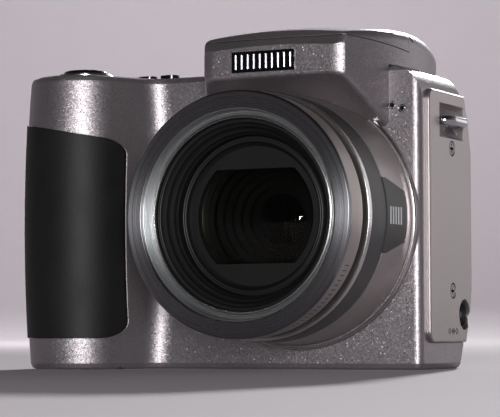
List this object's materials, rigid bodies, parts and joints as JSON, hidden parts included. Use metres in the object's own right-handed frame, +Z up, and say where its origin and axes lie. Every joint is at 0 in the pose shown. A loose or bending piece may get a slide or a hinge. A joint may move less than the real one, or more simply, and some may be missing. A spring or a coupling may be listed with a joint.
{
  "type": "bridge camera",
  "caption": "Bridge camera with a telescoping zoom lens, a pop-up flash, an eye-level finder, a rear screen and a rubber-clad battery grip.",
  "frame": {"origin": "mouth of the tripod socket in the base plane, under the lens axis", "axes": "-Y is where the lens looks, +Y the screen side, +X the camera's left hand side (right for someone who faces the lens), +Z up"},
  "size_m": [0.1036, 0.0731, 0.0783],
  "materials": {
    "silver_paint": "metallic lacquer",
    "grip_rubber": "fine grain, matt",
    "flash_window": "ribbed, clear",
    "bright_metal": "polished",
    "flash_tube": "clear",
    "pin_steel": "turned",
    "badge_ring": "dark metallic satin",
    "ring_aluminium": "anodised champagne",
    "black_plastic": "satin",
    "lens_glass": "coated",
    "sensor": "glass cover over a dark chip",
    "circuit_board": "lacquered laminate",
    "screen_glass": "dark, clear",
    "screen_panel": "dark",
    "silver_button": "satin lacquer",
    "joystick": "satin",
    "cell_sleeve": "printed sleeve",
    "plated_steel": "stamped",
    "capacitor_sleeve": "sleeved can"
  },
  "bodies": {
    "body": {"badge_ring": "badge_ring", "barrel_band": "ring_aluminium", "battery_cells": "cell_sleeve", "battery_holder": "black_plastic", "card_slot": "plated_steel", "case_screws": "pin_steel", "dc_jack": "black_plastic", "dock_connector": "black_plastic", "evf_display": "sensor", "eyecup": "grip_rubber", "eyepiece_lens": "lens_glass", "flash_capacitor": "capacitor_sleeve", "flash_hinge_pin": "pin_steel", "front_ring": "ring_aluminium", "front_shell": "silver_paint", "grip_cover": "grip_rubber", "guide_rods": "pin_steel", "image_sensor": "sensor", "lcd_glass": "screen_glass", "lcd_panel": "screen_panel", "lens_sleeve": "silver_paint", "lens_tube": "black_plastic", "main_board": "circuit_board", "rear_shell": "silver_paint", "sensor_board": "circuit_board", "shutter_bezel": "bright_metal", "side_panel": "silver_paint", "strap_lugs": "bright_metal", "top_housing": "silver_paint", "trim_ring": "bright_metal", "tripod_socket": "pin_steel", "zoom_motor": "plated_steel"},
    "flash_head": {"flash_lid": "silver_paint", "flash_window": "flash_window", "flash_reflector": "bright_metal", "flash_tube": "flash_tube"},
    "outer_barrel": {"zoom_barrel_outer": "black_plastic"},
    "inner_barrel": {"zoom_barrel_inner": "black_plastic", "lens_mask": "black_plastic", "front_lens": "lens_glass", "lens_baffle": "black_plastic", "rear_lens": "lens_glass"},
    "focus_group": {"focus_carrier": "black_plastic", "focus_lens": "lens_glass"},
    "shutter_button": {"shutter_button": "silver_button"},
    "flash_button": {"flash_button": "silver_button"},
    "focus_button": {"focus_button": "silver_button"},
    "drive_button": {"drive_button": "silver_button"},
    "delete_button": {"delete_button": "silver_button"},
    "menu_button": {"menu_button": "silver_button"},
    "review_button": {"review_button": "silver_button"},
    "share_button": {"share_button": "silver_button"},
    "mode_dial": {"mode_dial": "silver_button"},
    "joystick_gimbal": {"joystick_gimbal": "black_plastic"},
    "joystick": {"joystick": "joystick"},
    "zoom_rocker": {"zoom_rocker": "silver_button"},
    "command_dial": {"command_dial": "silver_button"},
    "battery_door": {"battery_door": "silver_paint"},
    "battery_latch": {"battery_latch": "black_plastic"},
    "card_door": {"card_door": "silver_paint"}
  },
  "joints": [
    {"name": "flash_pop_up", "type": "hinge", "parent": "body", "child": "flash_head", "pos_m": [0, -0.0045, 0.0754], "axis": [-1, 0, 0], "range_deg": [0, 60]},
    {"name": "zoom_out", "type": "slide", "parent": "body", "child": "outer_barrel", "axis": [0, -1, 0], "range_m": [0, 0.013]},
    {"name": "zoom_inner", "type": "slide", "parent": "outer_barrel", "child": "inner_barrel", "axis": [0, -1, 0], "range_m": [0, 0.012]},
    {"name": "focus_drive", "type": "slide", "parent": "body", "child": "focus_group", "axis": [0, -1, 0], "range_m": [-0.002, 0.0022]},
    {"name": "shutter_press", "type": "slide", "parent": "body", "child": "shutter_button", "axis": [0, 0, -1], "range_m": [0, 0.0012], "stiffness_N_per_m": 400},
    {"name": "flash_press", "type": "slide", "parent": "body", "child": "flash_button", "axis": [0, 0, -1], "range_m": [0, 0.0005], "stiffness_N_per_m": 400},
    {"name": "focus_press", "type": "slide", "parent": "body", "child": "focus_button", "axis": [0, 0, -1], "range_m": [0, 0.0005], "stiffness_N_per_m": 400},
    {"name": "drive_press", "type": "slide", "parent": "body", "child": "drive_button", "axis": [0, 0, -1], "range_m": [0, 0.0005], "stiffness_N_per_m": 400},
    {"name": "delete_press", "type": "slide", "parent": "body", "child": "delete_button", "axis": [0, -1, 0], "range_m": [0, 0.0005], "stiffness_N_per_m": 400},
    {"name": "menu_press", "type": "slide", "parent": "body", "child": "menu_button", "axis": [0, -1, 0], "range_m": [0, 0.0005], "stiffness_N_per_m": 400},
    {"name": "review_press", "type": "slide", "parent": "body", "child": "review_button", "axis": [0, -1, 0], "range_m": [0, 0.0005], "stiffness_N_per_m": 400},
    {"name": "share_press", "type": "slide", "parent": "body", "child": "share_button", "axis": [0, -1, 0], "range_m": [0, 0.0005], "stiffness_N_per_m": 400},
    {"name": "mode_turn", "type": "hinge", "parent": "body", "child": "mode_dial", "pos_m": [-0.046, 0.0178, 0.036], "axis": [0, 1, 0], "continuous": true},
    {"name": "joystick_up_down", "type": "hinge", "parent": "body", "child": "joystick_gimbal", "pos_m": [-0.046, 0.0151, 0.036], "axis": [1, 0, 0], "range_deg": [-8, 8], "stiffness_Nm_per_rad": 0.02},
    {"name": "joystick_left_right", "type": "hinge", "parent": "joystick_gimbal", "child": "joystick", "pos_m": [-0.046, 0.0151, 0.036], "axis": [0, 0, 1], "range_deg": [-8, 8], "stiffness_Nm_per_rad": 0.02},
    {"name": "zoom_rock", "type": "hinge", "parent": "body", "child": "zoom_rocker", "pos_m": [-0.05, 0.017, 0.058], "axis": [0, 0, 1], "range_deg": [-6, 6], "stiffness_Nm_per_rad": 0.02},
    {"name": "command_turn", "type": "hinge", "parent": "body", "child": "command_dial", "pos_m": [-0.0306, 0.008, 0.0684], "axis": [0, 0, 1], "continuous": true},
    {"name": "battery_door_swing", "type": "hinge", "parent": "body", "child": "battery_door", "pos_m": [-0.0439, -0.0093, 0.00135], "axis": [0, -1, 0], "range_deg": [0, 95]},
    {"name": "battery_latch_slide", "type": "slide", "parent": "battery_door", "child": "battery_latch", "axis": [1, 0, 0], "range_m": [0, 0.002]},
    {"name": "card_door_swing", "type": "hinge", "parent": "body", "child": "card_door", "pos_m": [-0.06605, 0.01, 0.032], "axis": [0, 0, -1], "range_deg": [0, 100]}
  ],
  "couplings": [
    {"joint": "zoom_inner", "follows": "zoom_out", "ratio": 0.923}
  ]
}
